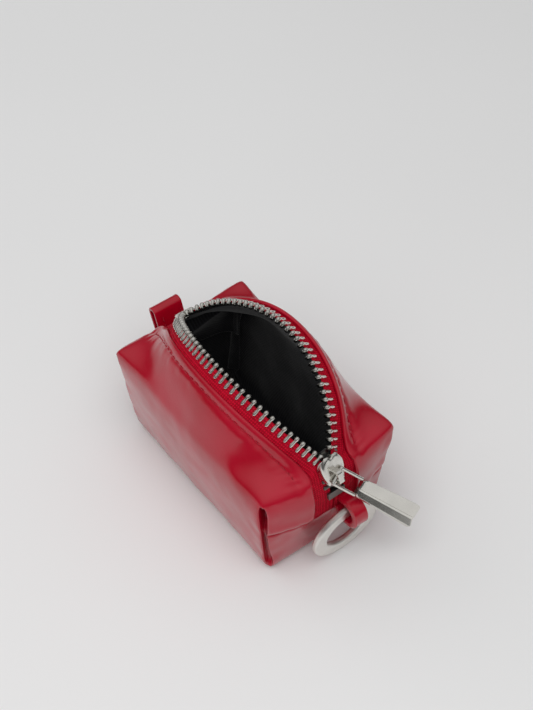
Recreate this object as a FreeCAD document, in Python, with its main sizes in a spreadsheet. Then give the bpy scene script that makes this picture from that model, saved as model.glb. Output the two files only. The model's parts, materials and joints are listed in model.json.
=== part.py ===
# Boxy zip-top pouch in glossy leather, standing on its base with the zip open.
# Millimetres. Origin: centre of the base. +X runs along the zip to the end with
# the slider and ring, +Z is up, the left side is -Y.
import FreeCAD, Part
import math
import os
from FreeCAD import Placement, Rotation, Vector

doc = FreeCAD.newDocument("pouch")

DIMENSIONS = [
    ("body_length", 78.0, "between the upright corner seams, at the shoulder"),
    ("foot_taper", 1.1, "how far each end leans in at the base"),
    ("base_width", 42.2, "across the base"),
    ("shoulder_width", 50.6, "across the body where the sides turn in"),
    ("shoulder_height", 40.0, "where the sides turn in to the mouth"),
    ("end_reach", 43.8, "furthest the ends reach beside the zip"),
    ("edge_radius", 4.0, "rounding between base and sides"),
    ("side_bulge", 1.4, "outward curve of each long side"),
    ("seam_height", 23.5, "seam across each end"),
    ("end_bulge", 3.6, "outward curve of each end at that seam"),
    ("leather_thickness", 1.1, "one layer of leather"),
    ("lining_thickness", 0.4, "one layer of lining"),
    ("seam_gap", 0.15, "clearance at each panel edge"),
    ("arch_radius", 42.5, "curve of the zip over the body"),
    ("arch_centre", 23.2, "height of that curve's centre"),
    ("arch_shift", 1.0, "how far that centre sits towards the ring end"),
    ("mouth_arc", 61.0, "half of the opening part of the arch, degrees"),
    ("mouth_angle", 34.6, "how far each lip is folded outward, degrees"),
    ("tape_inner", 1.7, "tape's beaded edge from the zip's centre line"),
    ("tape_thickness", 0.7, "woven tape"),
    ("lip_inner", 6.3, "leather's folded edge from the zip's centre line"),
    ("lip_outer", 10.5, "end of the folded edge"),
    ("end_lip_inner", 8.4, "the same edge beside the tape on the two ends"),
    ("tooth_pitch", 2.4, "tooth to tooth along one chain"),
    ("tooth_width", 1.3, "one tooth along the chain"),
    ("tooth_reach", 3.6, "tooth from tip line to its leg's end"),
    ("tooth_depth", 2.6, "tooth through the tape"),
    ("zip_fold", 59.4, "where the tape leaves the ring-end lip, degrees"),
    ("chain_end", 75.0, "last tooth at the ring end, degrees"),
    ("tape_end", 76.0, "tape turns down at the ring end, degrees"),
    ("tab_fold", 63.5, "where the tape leaves the tab-end lip, degrees"),
    ("tab_tape_end", 80.0, "tape goes inside at the tab end, degrees"),
    ("bottom_stop_angle", 77.5, "bottom stop, degrees"),
    ("top_stop_angle", 62.1, "top stops at the tab end, degrees"),
    ("slider_angle", 64.6, "slider on the arch from the top, degrees"),
    ("slider_length", 10.0, "slider plates"),
    ("slider_width", 9.4, "slider plates"),
    ("plate_thickness", 1.2, "slider plates"),
    ("plate_lift", 1.7, "gap from the chain's middle to each plate"),
    ("flange_gap", 0.8, "half of the slit the tape runs in"),
    ("crown_length", 4.6, "bridge over the slider"),
    ("crown_width", 1.8, "bridge over the slider"),
    ("crown_height", 2.6, "bridge over the slider"),
    ("pull_turn", 37.0, "how far the pull lies to one side, degrees"),
    ("pull_rise", 3.0, "pull raised off the slider's plane, degrees"),
    ("wire_radius", 0.55, "pull's wire loop"),
    ("wire_length", 9.4, "wire loop, pin to bar"),
    ("wire_spacing", 5.4, "between the wire loop's legs"),
    ("bar_length", 25.5, "pull bar"),
    ("bar_narrow", 6.6, "pull bar's width at the wire"),
    ("bar_wide", 8.0, "pull bar's width at its free end"),
    ("bar_thin", 2.2, "pull bar's thickness at the wire"),
    ("bar_thick", 3.2, "pull bar's thickness at its free end"),
    ("ring_outer", 12.6, "ring's outer radius"),
    ("ring_inner", 7.7, "ring's inner radius"),
    ("ring_lean", 6.0, "ring hangs with its foot towards the body, degrees"),
    ("ring_thickness", 2.2, "ring's flat section"),
    ("ring_side", 2.8, "ring from the middle of the end"),
    ("loop_centre_x", 46.4, "eye of the ring's leather loop"),
    ("loop_centre_z", 23.5, "eye of the ring's leather loop"),
    ("loop_outer", 5.6, "loop's outer radius"),
    ("loop_inner", 3.6, "loop's inner radius"),
    ("loop_width", 4.2, "loop's strap"),
    ("loop_side", 3.6, "loop from the middle of the end"),
    ("loop_back", 42.4, "flat back of the loop, against the end of the body"),
    ("tab_length", 16.0, "grip tab at the other end"),
    ("tab_width", 11.0, "grip tab"),
    ("tab_side", 1.2, "grip tab from the middle of the end"),
    ("tab_depth", 4.4, "grip tab, both layers and the gap"),
    ("tab_layer", 1.3, "one layer of the grip tab"),
    ("tab_lean", 22.0, "grip tab's lean away from the body, degrees"),
    ("lining_foot", 5.0, "height of the lining walls' lower edge"),
    ("lining_end_drop", 9.5, "lining ends stop this far below the shoulder"),
    ("stitch_inset", 3.0, "topstitching from the folded edge"),
    ("stitch_length", 2.3, "one stitch"),
    ("stitch_pitch", 3.2, "stitch to stitch"),
    ("thread_radius", 0.2, "sewing thread"),
]

sheet = doc.addObject("Spreadsheet::Sheet", "dimensions")
for row, (alias, value, note) in enumerate(DIMENSIONS, start=1):
    sheet.set("A%d" % row, note)
    sheet.set("B%d" % row, str(value))
    sheet.setAlias("B%d" % row, alias)
doc.recompute()


def size(alias):
    return float(sheet.get(alias))


HALF_LENGTH = size("body_length") / 2
SHOULDER = size("shoulder_height")
SEAM = size("seam_height")
LEATHER = size("leather_thickness")
LINING = size("lining_thickness")
GAP = size("seam_gap")
ARCH = size("arch_radius")
ARCH_Z = size("arch_centre")
ARCH_X = size("arch_shift")
MOUTH_ARC = size("mouth_arc")
MOUTH_ANGLE = size("mouth_angle")
CHORD_Z = ARCH_Z + ARCH * math.cos(math.radians(MOUTH_ARC))
LEATHER_LIFT = size("tape_thickness") / 2 + 0.15
LIP_TOP = LEATHER_LIFT + LEATHER
END_LIP = size("end_lip_inner")
END_EDGE = LEATHER + 3 * GAP
END_TAPE = END_LIP - 0.2
TAIL_DROP = 3.4
END_REACH = size("end_reach")
LIP_GAP = 2.4
TAPE_TRIM = 3.6
TEETH_TRIM = 4.2
CHAIN_START = 64.2
BODY_MIDDLE = Vector(0, 0, SHOULDER / 2)
OBJECTS = []


# ---------- helpers ----------

def bind(obj, **formulas):
    for name, formula in formulas.items():
        obj.setExpression(name.replace("__", "."), formula)


def cells(formula):
    # in a formula a sheet value is written #name
    return formula.replace("#", "dimensions.")


def primitive(kind, name, **formulas):
    obj = doc.addObject(kind, name)
    for prop, formula in formulas.items():
        obj.setExpression(prop, cells(formula))
    return obj


def keep(obj, label):
    obj.Label = label
    OBJECTS.append(obj)
    return obj


def feature(label, shape, placement=None):
    obj = doc.addObject("Part::Feature", label)
    obj.Shape = shape
    if placement is not None:
        obj.Placement = placement
    return keep(obj, label)


def place(obj, position, rotation=None):
    obj.Placement = Placement(position, rotation or Rotation())
    return obj


def mix(a, b, amount):
    return a + (b - a) * amount


def surface_from(grid):
    surface = Part.BSplineSurface()
    surface.interpolate(grid)
    return surface


def thick_patch(point, nu, nv, depth, thickness):
    """Solid sheet that follows point(u, v), starting depth inside it."""
    step = 0.002
    near = []
    far = []
    for i in range(nu):
        near_row = []
        far_row = []
        for j in range(nv):
            u = i / (nu - 1.0)
            v = j / (nv - 1.0)
            u0 = max(u - step, 0.0)
            u1 = min(u + step, 1.0)
            v0 = max(v - step, 0.0)
            v1 = min(v + step, 1.0)
            along = point(u1, v) - point(u0, v)
            across = point(u, v1) - point(u, v0)
            normal = along.cross(across).normalize()
            here = point(u, v)
            if normal.dot(BODY_MIDDLE - here) < 0:
                normal = normal * -1
            near_row.append(here + normal * depth)
            far_row.append(here + normal * (depth + thickness))
        near.append(near_row)
        far.append(far_row)
    outside = surface_from(near)
    inside = surface_from(far)
    faces = [outside.toShape(), inside.toShape()]
    outside_u = outside.bounds()[0:2]
    outside_v = outside.bounds()[2:4]
    inside_u = inside.bounds()[0:2]
    inside_v = inside.bounds()[2:4]
    for k in (0, 1):
        edge_a = outside.uIso(outside_u[k]).toShape()
        edge_b = inside.uIso(inside_u[k]).toShape()
        faces.append(Part.makeRuledSurface(edge_a, edge_b))
        edge_a = outside.vIso(outside_v[k]).toShape()
        edge_b = inside.vIso(inside_v[k]).toShape()
        faces.append(Part.makeRuledSurface(edge_a, edge_b))
    shell = Part.makeShell(faces)
    shell.sewShape()
    solid = Part.makeSolid(shell)
    if solid.Volume < 0:
        solid.reverse()
    return solid


# ---------- outer surface of the body ----------

def edge_inset(z):
    radius = size("edge_radius")
    if z >= radius:
        return 0.0
    return radius - math.sqrt(max(radius ** 2 - (radius - z) ** 2, 0.0))


def corner_x(z):
    lean = size("foot_taper") * (1 - min(z / SHOULDER, 1))
    return HALF_LENGTH - lean - edge_inset(z)


def corner_y(z):
    foot = size("base_width") / 2
    top = size("shoulder_width") / 2
    return mix(foot, top, math.sin(math.pi / 2 * min(z / SHOULDER, 1))) - edge_inset(z)


def height_at(v, top):
    # spaces the rows closer round the bottom edge
    radius = size("edge_radius")
    turn = 0.3
    if v < turn:
        return radius * (1 - math.cos(math.pi / 2 * v / turn))
    return mix(radius, top, (v - turn) / (1 - turn))


def side_y(x, z):
    along = min(abs(x) / corner_x(z), 1)
    swell = size("side_bulge") * (1 - along ** 2) * math.sin(math.pi * min(z / SHOULDER, 1) * 0.75)
    return corner_y(z) + swell


def wall_point(side):
    def point(u, v):
        z = height_at(v, SHOULDER)
        x = mix(-1, 1, u) * (corner_x(z) - GAP)
        return Vector(x, side * side_y(x, z), z)
    return point


def end_swell(z):
    if z <= SEAM:
        return size("end_bulge") * z / SEAM
    rise = (z - SEAM) / (CHORD_Z - SEAM)
    reach = math.sqrt(max(ARCH ** 2 - (z - ARCH_Z) ** 2, 0.0)) + LIP_TOP + 0.2
    reach = min(reach, END_REACH)
    over_tape = (reach - corner_x(z)) / (1 - (END_LIP / corner_y(z)) ** 2.6)
    return mix(size("end_bulge"), over_tape, min(rise / 0.3, 1) ** 0.6)


def end_x(y, z):
    across = min(abs(y) / corner_y(z), 1)
    return corner_x(z) + end_swell(z) * (1 - across ** 2.6)


def lower_end_point(end):
    def point(u, v):
        z = height_at(v, SEAM - GAP)
        y = mix(-1, 1, u) * (corner_y(z) - END_EDGE)
        return Vector(end * end_x(y, z), y, z)
    return point


def upper_end_point(end, side):
    top = CHORD_Z - 4.0

    def point(u, v):
        z = mix(SEAM + GAP, mix(top, SHOULDER, u), v)
        y = mix(END_LIP, corner_y(z) - END_EDGE, u)
        return Vector(end * end_x(y, z), side * y, z)
    return point


def on_arch(angle, offset, lift):
    radius = ARCH + lift
    turn = math.radians(angle)
    return Vector(ARCH_X + radius * math.sin(turn), offset, ARCH_Z + radius * math.cos(turn))


def lip_tilt(side):
    # left lip folds towards -Y, right lip towards +Y, about the line between the zip's ends
    turn = Rotation(Vector(1, 0, 0), -side * MOUTH_ANGLE)
    return Placement(Vector(0, 0, 0), turn, Vector(0, 0, CHORD_Z))


def flap_point(side):
    tilt = lip_tilt(side)

    def point(u, v):
        low_x = mix(-1, 1, u) * (HALF_LENGTH - 0.5)
        low = Vector(low_x, side * side_y(low_x, SHOULDER + GAP), SHOULDER + 2 * GAP)
        angle = mix(-1, 1, u) * (MOUTH_ARC + 0.4)
        high = tilt.multVec(on_arch(angle, side * (size("lip_outer") + 0.3), LIP_TOP))
        outward = tilt.multVec(on_arch(angle, side * (size("lip_outer") + 1.3), LIP_TOP))
        span = (high - low).Length
        start = Vector(0, side * -0.05, 1) * span
        finish = (high - outward) * span
        a = 2 * v ** 3 - 3 * v ** 2 + 1
        b = v ** 3 - 2 * v ** 2 + v
        c = -2 * v ** 3 + 3 * v ** 2
        d = v ** 3 - v ** 2
        return low * a + start * b * 0.9 + high * c + finish * d * 0.9
    return point


# ---------- leather body ----------

def base_panel():
    box = primitive(
        "Part::Box", "base_panel",
        Length="#body_length - 2 * #foot_taper - 2 * #edge_radius - 2 * #seam_gap",
        Width="#base_width - 2 * #edge_radius - 2 * #seam_gap",
        Height="#leather_thickness")
    bind(
        box,
        Placement__Base__x=cells("-(#body_length / 2 - #foot_taper - #edge_radius - #seam_gap)"),
        Placement__Base__y=cells("-(#base_width / 2 - #edge_radius - #seam_gap)"))
    keep(box, "base_panel")


def leather_panels():
    for name, side in (("left", -1), ("right", 1)):
        feature(name + "_side_panel", thick_patch(wall_point(side), 9, 13, 0, LEATHER))
        feature(name + "_top_flap", thick_patch(flap_point(side), 15, 7, 0, LEATHER))
    for end_name, end in (("ring_end", 1), ("tab_end", -1)):
        feature(end_name + "_lower_panel", thick_patch(lower_end_point(end), 13, 11, 0, LEATHER))
        for side_name, side in (("left", -1), ("right", 1)):
            patch = thick_patch(upper_end_point(end, side), 8, 9, 0, LEATHER)
            feature(end_name + "_upper_" + side_name, patch)


# ---------- lining ----------

def lining_wall_point(side):
    def point(u, v):
        z = mix(size("lining_foot"), SHOULDER - 0.5, v)
        x = mix(-1, 1, u) * (corner_x(z) - 3.0)
        return Vector(x, side * side_y(x, z), z)
    return point


def lining_end_point(end):
    def point(u, v):
        z = mix(size("lining_foot"), SHOULDER - size("lining_end_drop"), v)
        y = mix(-1, 1, u) * (corner_y(z) - 3.4)
        swell = size("end_bulge") * z / SHOULDER
        across = abs(y) / corner_y(z)
        return Vector(end * (corner_x(z) + swell * (1 - across ** 2.6) - 0.7), y, z)
    return point


def lining_flap_point(side):
    flap = flap_point(side)

    def point(u, v):
        return flap(mix(0.06, 0.94, u), mix(0.04, 0.98, v))
    return point


def lining():
    floor = primitive(
        "Part::Box", "lining_floor",
        Length="#body_length - 2 * #foot_taper - 2 * #edge_radius - 2",
        Width="#base_width - 2 * #edge_radius - 2",
        Height="#lining_thickness")
    bind(
        floor,
        Placement__Base__x=cells("-(#body_length / 2 - #foot_taper - #edge_radius - 1)"),
        Placement__Base__y=cells("-(#base_width / 2 - #edge_radius - 1)"),
        Placement__Base__z=cells("#leather_thickness + 0.2"))
    keep(floor, "lining_floor")
    inset = LEATHER + 0.25
    for name, side in (("left", -1), ("right", 1)):
        feature("lining_" + name, thick_patch(lining_wall_point(side), 9, 7, inset, LINING))
        feature("lining_flap_" + name, thick_patch(lining_flap_point(side), 13, 7, inset, LINING))
    for name, end in (("ring_end", 1), ("tab_end", -1)):
        feature("lining_" + name, thick_patch(lining_end_point(end), 9, 7, inset, LINING))


# ---------- zip ----------

def arch_strip(start, finish, inner, outer, low, high):
    """Strip of the arch between two angles, two offsets and two lifts."""
    corners = [
        on_arch(start, inner, low),
        on_arch(start, outer, low),
        on_arch(start, outer, high),
        on_arch(start, inner, high),
    ]
    section = Part.Face(Part.makePolygon(corners + corners[:1]))
    return section.revolve(Vector(ARCH_X, 0, ARCH_Z), Vector(0, 1, 0), finish - start)


def tooth(side):
    """One clamped tooth at the top of the arch, its tip on the centre line."""
    wide = size("tooth_width") / 2
    reach = size("tooth_reach")
    deep = size("tooth_depth")
    outline = [(-0.3, 0.28), (0.1, 0.6), (0.7, 0.6), (1.1, 0.42), (1.6, wide), (reach, wide)]
    points = [Vector(s, side * w, 0) for w, s in outline]
    points += [Vector(-s, side * w, 0) for w, s in reversed(outline)]
    face = Part.Face(Part.makePolygon(points + points[:1]))
    body = face.extrude(Vector(0, 0, deep))
    body.translate(Vector(0, 0, -deep / 2))
    slot_height = size("tape_thickness") + 0.1
    slot = Part.makeBox(4, reach, slot_height)
    slot.translate(Vector(-2, size("tape_inner") - 0.1, -slot_height / 2))
    if side < 0:
        slot = slot.mirror(Vector(0, 0, 0), Vector(0, 1, 0))
    return body.cut(slot)


def teeth_between(side, start, finish, shift):
    """Teeth at the chain's pitch from one angle to the other."""
    step = math.degrees(size("tooth_pitch") / ARCH)
    count = int((finish - start) / step)
    pattern = tooth(side)
    solids = []
    for number in range(count):
        angle = start + (number + shift) * step
        copy = pattern.copy()
        spot = Placement(on_arch(angle, 0, 0), Rotation(Vector(0, 1, 0), angle))
        copy.Placement = spot.multiply(copy.Placement)
        solids.append(copy)
    return Part.makeCompound(solids)


def stitch_row(path):
    """Stitches between pairs of points, each a short round thread."""
    solids = []
    radius = size("thread_radius")
    for first, second in path:
        along = second - first
        solids.append(Part.makeCylinder(radius, along.Length, first, along))
    return Part.makeCompound(solids)


def arch_stitches(side, limit, offset, lift):
    step = math.degrees(size("stitch_pitch") / ARCH)
    part = size("stitch_length") / size("stitch_pitch")
    count = int(2 * limit / step)
    path = []
    for number in range(count):
        start = -limit + number * step
        first = on_arch(start, side * offset, lift)
        second = on_arch(start + part * step, side * offset, lift)
        path.append((first, second))
    return stitch_row(path)


def lips():
    # the lips stop short of the folds, in degrees of the arch
    arc = MOUTH_ARC - LIP_GAP
    for name, side in (("left", -1), ("right", 1)):
        tilt = lip_tilt(side)
        half_tape = size("tape_thickness") / 2
        tape = arch_strip(
            -arc, arc - TAPE_TRIM, side * size("tape_inner"), side * (size("lip_outer") - 0.3),
            -half_tape, half_tape)
        feature("zip_tape_" + name, tape, tilt)
        shift = 0.25 if side < 0 else 0.75
        feature("zip_teeth_" + name, teeth_between(side, -arc, arc - TEETH_TRIM, shift), tilt)
        edge = arch_strip(
            -arc, arc, side * size("lip_inner"), side * size("lip_outer"), LEATHER_LIFT, LIP_TOP)
        feature("folded_edge_" + name, edge, tilt)
        stitches = arch_stitches(
            side, arc - 1, size("lip_inner") + size("stitch_inset"), LIP_TOP + size("thread_radius") + 0.02)
        feature("topstitch_" + name, stitches, tilt)


def zip_tail(side):
    """Flat end of the tape, from the bottom stop down to the end seam."""
    top = on_arch(size("tape_end"), 0, 0)
    wide = END_TAPE - size("tape_inner")
    foot = SEAM + 4 * GAP
    tail = Part.makeBox(size("tape_thickness"), wide, top.z - TAIL_DROP - foot)
    low_y = size("tape_inner") if side > 0 else -END_TAPE
    tail.translate(Vector(size("loop_back") - 4 * GAP - size("tape_thickness"), low_y, foot))
    return tail


def zip_ends():
    half_tape = size("tape_thickness") / 2
    ring_span = ("ring_end", size("zip_fold"), size("tape_end"))
    tab_span = ("tab_end", -size("tab_tape_end"), -size("tab_fold"))
    for name, start, finish in (ring_span, tab_span):
        strips = []
        for side in (-1, 1):
            strips.append(arch_strip(
                start, finish, side * size("tape_inner"), side * END_TAPE,
                -half_tape, half_tape))
            if name == "ring_end":
                strips.append(zip_tail(side))
        feature("zip_tape_" + name, Part.makeCompound(strips))
    closed = []
    for side, shift in ((-1, 0.25), (1, 0.75)):
        closed.append(teeth_between(side, CHAIN_START, size("chain_end"), shift))
    feature("closed_teeth", Part.makeCompound(closed))
    stop = primitive("Part::Box", "bottom_stop_block", Length="2.4", Width="6.4", Height="#tooth_depth")
    stop_angle = size("bottom_stop_angle")
    turn = Rotation(Vector(0, 1, 0), stop_angle)
    hollow = primitive(
        "Part::Box", "bottom_stop_slot", Length="3", Width="10", Height="#tape_thickness + 0.1")
    offset = turn.multVec(Vector(-1.2, -3.2, -size("tooth_depth") / 2))
    place(stop, on_arch(stop_angle, 0, 0) + offset, turn)
    offset = turn.multVec(Vector(-1.5, size("tape_inner") - 0.1, -size("tape_thickness") / 2 - 0.05))
    place(hollow, on_arch(stop_angle, 0, 0) + offset, turn)
    other = primitive(
        "Part::Box", "bottom_stop_slot_left", Length="3", Width="10",
        Height="#tape_thickness + 0.1")
    offset = turn.multVec(
        Vector(-1.5, -size("tape_inner") + 0.1 - 10, -size("tape_thickness") / 2 - 0.05))
    place(other, on_arch(stop_angle, 0, 0) + offset, turn)
    slots = doc.addObject("Part::MultiFuse", "bottom_stop_slots")
    slots.Shapes = [hollow, other]
    cut = doc.addObject("Part::Cut", "bottom_stop")
    cut.Base = stop
    cut.Tool = slots
    keep(cut, "bottom_stop")
    tops = []
    for side in (-1, 1):
        block = Part.makeBox(2.0, 2.6, size("tooth_depth"))
        block.translate(Vector(-1.0, -0.2, -size("tooth_depth") / 2))
        slot = Part.makeBox(4.0, 3.0, size("tape_thickness") + 0.1)
        slot.translate(Vector(-2.0, size("tape_inner") - 0.1, -size("tape_thickness") / 2 - 0.05))
        block = block.cut(slot)
        if side < 0:
            block = block.mirror(Vector(0, 0, 0), Vector(0, 1, 0))
        angle = -size("top_stop_angle")
        spot = Placement(on_arch(angle, side * 0.35, 0), Rotation(Vector(0, 1, 0), angle))
        block.Placement = spot.multiply(block.Placement)
        tops.append(block)
    feature("top_stops", Part.makeCompound(tops))


# ---------- slider and pull ----------

SLIDER_TURN = Rotation(Vector(0, 1, 0), size("slider_angle"))
SLIDER_FRAME = Placement(on_arch(size("slider_angle"), 0, 0), SLIDER_TURN)


def in_slider(x, y, z):
    return SLIDER_FRAME.multVec(Vector(x, y, z))


def slider_plate(label, flip):
    """Shield-shaped plate with turned flanges, drawn from above and padded."""
    length = size("slider_length")
    width = size("slider_width")
    thick = size("plate_thickness")
    half = width / 2
    nose = -length / 2
    tail = length / 2
    outline = [
        Vector(nose + 0.6, 0, 0), Vector(nose, -half + 1.2, 0), Vector(nose + 1.0, -half, 0),
        Vector(0.5, -half, 0), Vector(tail - 1.2, -half + 0.9, 0), Vector(tail, -half + 2.2, 0),
    ]
    mirrored = [Vector(p.x, -p.y, 0) for p in reversed(outline[1:])]
    points = outline + mirrored
    plate = Part.Face(Part.makePolygon(points + points[:1])).extrude(Vector(0, 0, thick))
    plate.translate(Vector(0, 0, size("plate_lift")))
    flange_high = size("plate_lift") - size("flange_gap") + 0.2
    pieces = []
    for side in (-1, 1):
        flange = Part.makeBox(length - 3.4, 0.8, flange_high)
        y = half - 0.8 if side > 0 else -half
        flange.translate(Vector(nose + 1.2, y, size("flange_gap")))
        pieces.append(flange)
    plate = plate.fuse(pieces).removeSplitter()
    edges = [e for e in plate.Edges if e.BoundBox.ZMin > size("plate_lift") + thick - 0.01]
    plate = plate.makeFillet(0.35, edges)
    if flip:
        plate = plate.mirror(Vector(0, 0, 0), Vector(0, 0, 1))
    feature(label, plate, SLIDER_FRAME)


def slider_post():
    post = primitive(
        "Part::Wedge", "slider_post",
        Xmin="-#slider_length / 2 + 0.8", Xmax="-1.4",
        Ymin="-#plate_lift", Ymax="#plate_lift",
        Zmin="-1.1", Zmax="1.1", X2min="-#slider_length / 2 + 0.8", X2max="-1.4",
        Z2min="-1.1", Z2max="1.1")
    # the wedge's own Y becomes the slider's up
    stand = Placement(Vector(0, 0, 0), Rotation(Vector(1, 0, 0), 90))
    post.Placement = SLIDER_FRAME.multiply(stand)
    keep(post, "slider_post")


def slider_crown():
    base = size("plate_lift") + size("plate_thickness")
    block = primitive(
        "Part::Box", "crown_block",
        Length="#crown_length", Width="#crown_width", Height="#crown_height")
    start = in_slider(2.0 - size("crown_length") / 2, -size("crown_width") / 2, base)
    place(block, start, SLIDER_TURN)
    tunnel = primitive(
        "Part::Box", "crown_tunnel",
        Length="#crown_length - 1.4", Width="#crown_width + 2", Height="#crown_height - 1.0")
    start = in_slider(2.0 - size("crown_length") / 2 + 0.7, -size("crown_width") / 2 - 1, base)
    place(tunnel, start, SLIDER_TURN)
    cut = doc.addObject("Part::Cut", "crown_arch")
    cut.Base = block
    cut.Tool = tunnel
    doc.recompute()
    rounded = doc.addObject("Part::Fillet", "slider_crown")
    rounded.Base = cut
    top = base + size("crown_height")
    picked = []
    for number, edge in enumerate(cut.Shape.Edges, start=1):
        local = [SLIDER_FRAME.inverse().multVec(v.Point) for v in edge.Vertexes]
        flat_top = all(abs(p.z - top) < 1e-4 for p in local)
        across = abs(local[0].x - local[-1].x) < 1e-4
        if flat_top and across:
            picked.append((number, 0.9, 0.9))
    rounded.Edges = picked
    keep(rounded, "slider_crown")


PULL_PIN = (2.0, 0.0, size("plate_lift") + size("plate_thickness") + 0.15 + size("wire_radius"))
PULL_TURN = SLIDER_TURN.multiply(Rotation(Vector(0, 0, 1), size("pull_turn")))
PULL_TURN = PULL_TURN.multiply(Rotation(Vector(0, 1, 0), -size("pull_rise")))
PULL_FRAME = Placement(in_slider(*PULL_PIN), PULL_TURN)


def in_pull(x, y, z):
    return PULL_FRAME.multVec(Vector(x, y, z))


def pull_wire():
    half = size("wire_spacing") / 2
    parts = []
    pin = primitive("Part::Cylinder", "wire_pin", Radius="#wire_radius", Height="#wire_spacing")
    side_turn = PULL_TURN.multiply(Rotation(Vector(1, 0, 0), -90))
    place(pin, in_pull(0, -half, 0), side_turn)
    parts.append(pin)
    out_turn = PULL_TURN.multiply(Rotation(Vector(0, 1, 0), 90))
    for name, side in (("left", -1), ("right", 1)):
        leg = primitive("Part::Cylinder", "wire_leg_" + name, Radius="#wire_radius",
                        Height="#wire_length")
        place(leg, in_pull(0, side * half, 0), out_turn)
        parts.append(leg)
        bend = primitive("Part::Sphere", "wire_bend_" + name, Radius="#wire_radius")
        place(bend, in_pull(0, side * half, 0), PULL_TURN)
        parts.append(bend)
    fused = doc.addObject("Part::MultiFuse", "pull_wire")
    fused.Shapes = parts
    keep(fused, "pull_wire")


def pull_bar():
    bar = primitive(
        "Part::Wedge", "pull_bar_block",
        Xmin="-#bar_narrow / 2", Xmax="#bar_narrow / 2",
        Ymin="0", Ymax="#bar_length",
        Zmin="-#bar_thin / 2", Zmax="#bar_thin / 2",
        X2min="-#bar_wide / 2", X2max="#bar_wide / 2",
        Z2min="-#bar_thick / 2", Z2max="#bar_thick / 2")
    turn = PULL_TURN.multiply(Rotation(Vector(0, 0, 1), -90))
    place(bar, in_pull(size("wire_length") + 0.02, 0, 0), turn)
    doc.recompute()
    bevel = doc.addObject("Part::Chamfer", "pull_bar")
    bevel.Base = bar
    bevel.Edges = [(number, 0.7, 0.7) for number in range(1, len(bar.Shape.Edges) + 1)]
    keep(bevel, "pull_bar")


# ---------- ring, ring loop and grip tab ----------

def ring():
    turn = Rotation(Vector(0, 1, 0), 90 + size("ring_lean"))
    axis = Vector(size("loop_centre_x"), size("ring_side"), size("loop_centre_z"))
    drop = (size("ring_outer") + size("ring_inner")) / 2
    half = size("ring_thickness") / 2
    outer = primitive("Part::Cylinder", "ring_outside", Radius="#ring_outer",
                      Height="#ring_thickness")
    inner = primitive("Part::Cylinder", "ring_hole", Radius="#ring_inner",
                      Height="#ring_thickness + 2")
    place(outer, axis + turn.multVec(Vector(drop, 0, -half)), turn)
    place(inner, axis + turn.multVec(Vector(drop, 0, -half - 1)), turn)
    cut = doc.addObject("Part::Cut", "ring_blank")
    cut.Base = outer
    cut.Tool = inner
    doc.recompute()
    rounded = doc.addObject("Part::Fillet", "ring")
    rounded.Base = cut
    circles = []
    for number, edge in enumerate(cut.Shape.Edges, start=1):
        if edge.Closed:
            circles.append((number, 0.7, 0.7))
    rounded.Edges = circles
    keep(rounded, "ring")


def ring_loop():
    flat = Rotation(Vector(1, 0, 0), -90)
    start_y = size("loop_side") - size("loop_width") / 2
    centre = Vector(size("loop_centre_x"), start_y, size("loop_centre_z"))
    outer = primitive("Part::Cylinder", "loop_outside", Radius="#loop_outer",
                      Height="#loop_width")
    place(outer, centre, flat)
    behind = primitive("Part::Box", "loop_behind", Length="20", Width="#loop_width + 4",
                       Height="3 * #loop_outer")
    low_z = size("loop_centre_z") - 1.5 * size("loop_outer")
    place(behind, Vector(size("loop_back") - 20, start_y - 2, low_z))
    front = doc.addObject("Part::Cut", "loop_front")
    front.Base = outer
    front.Tool = behind
    eye = primitive("Part::Cylinder", "loop_eye", Radius="#loop_inner",
                    Height="#loop_width + 4")
    place(eye, centre - Vector(0, 2, 0), flat)
    cut = doc.addObject("Part::Cut", "ring_loop")
    cut.Base = front
    cut.Tool = eye
    keep(cut, "ring_loop")


def grip_tab():
    lean = Rotation(Vector(0, 1, 0), -size("tab_lean"))
    root = Vector(-(HALF_LENGTH + size("end_bulge") + 2.3), size("tab_side"), SEAM - 1.5)
    frame = Placement(root, lean)
    half = size("tab_width") / 2
    radius = size("tab_depth") / 2
    straight = size("tab_length") - radius
    block = primitive("Part::Box", "tab_block", Length="#tab_depth", Width="#tab_width",
                      Height="#tab_length - #tab_depth / 2")
    place(block, frame.multVec(Vector(-radius, -half, 0)), lean)
    flat = lean.multiply(Rotation(Vector(1, 0, 0), -90))
    fold = primitive("Part::Cylinder", "tab_fold", Radius="#tab_depth / 2", Height="#tab_width")
    place(fold, frame.multVec(Vector(0, -half, straight)), flat)
    outside = doc.addObject("Part::MultiFuse", "tab_outside")
    outside.Shapes = [block, fold]
    slit = primitive("Part::Box", "tab_slit", Length="#tab_depth - 2 * #tab_layer",
                     Width="#tab_width + 4", Height="#tab_length - #tab_depth / 2 - 3")
    inner = radius - size("tab_layer")
    place(slit, frame.multVec(Vector(-inner, -half - 2, 3)), lean)
    turn = primitive("Part::Cylinder", "tab_turn", Radius="#tab_depth / 2 - #tab_layer",
                     Height="#tab_width + 4")
    place(turn, frame.multVec(Vector(0, -half - 2, straight)), flat)
    inside = doc.addObject("Part::MultiFuse", "tab_inside")
    inside.Shapes = [slit, turn]
    cut = doc.addObject("Part::Cut", "grip_tab")
    cut.Base = outside
    cut.Tool = inside
    keep(cut, "grip_tab")
    rows = []
    for side in (-1, 1):
        distance = half - (2.6 if side < 0 else 1.4)
        count = int((straight - 2) / size("stitch_pitch"))
        for number in range(count):
            low = 1.5 + number * size("stitch_pitch")
            out = radius + size("thread_radius") + 0.02
            first = frame.multVec(Vector(out, side * distance, low))
            second = frame.multVec(Vector(out, side * distance, low + size("stitch_length")))
            rows.append((first, second))
    feature("grip_tab_stitches", stitch_row(rows))


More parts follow.
